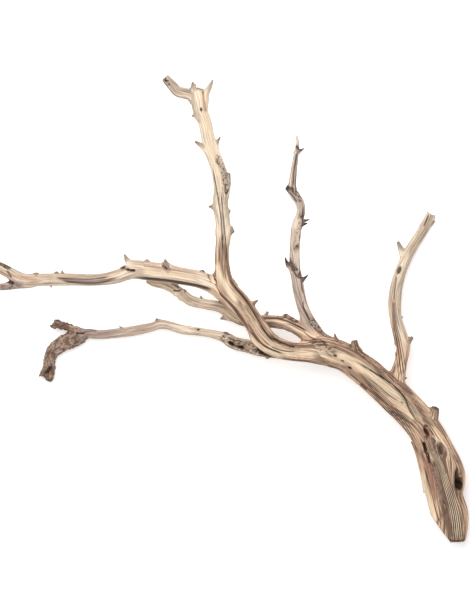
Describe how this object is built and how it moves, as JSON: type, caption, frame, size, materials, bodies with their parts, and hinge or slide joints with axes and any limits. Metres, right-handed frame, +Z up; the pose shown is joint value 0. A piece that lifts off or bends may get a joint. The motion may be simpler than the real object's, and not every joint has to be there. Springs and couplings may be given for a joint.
{
  "type": "ghost wood branch",
  "caption": "Dry forked branch of sand-blasted ghost wood with a thick sawn trunk, ridged limbs, thorns and one barked tip, lying flat as a decoration or a perch.",
  "frame": {"origin": "on the ground, under the middle of the branch's bounding box", "axes": "+Z up from the ground it lies on; +X towards the trunk's thick sawn end; +Y towards the tips of the three limbs that rise on the far side"},
  "size_m": [0.7702, 0.7502, 0.1163],
  "materials": {
    "pale_wood": "matt, bare, pale cream to tan with fine ridged grain",
    "warm_wood": "matt, bare, tan to reddish brown with strong ridged grain",
    "grey_wood": "matt, bare, greyed by weather, with dark knots",
    "bark": "rough brown-grey bark with dark cracks"
  },
  "bodies": {
    "root": {"trunk": "warm_wood", "main_limb": "warm_wood", "tall_limb": "pale_wood", "left_limb": "pale_wood", "back_limb": "warm_wood", "low_limb": "pale_wood", "barked_tip": "bark", "middle_limb": "grey_wood", "right_limb": "pale_wood"}
  },
  "joints": []
}
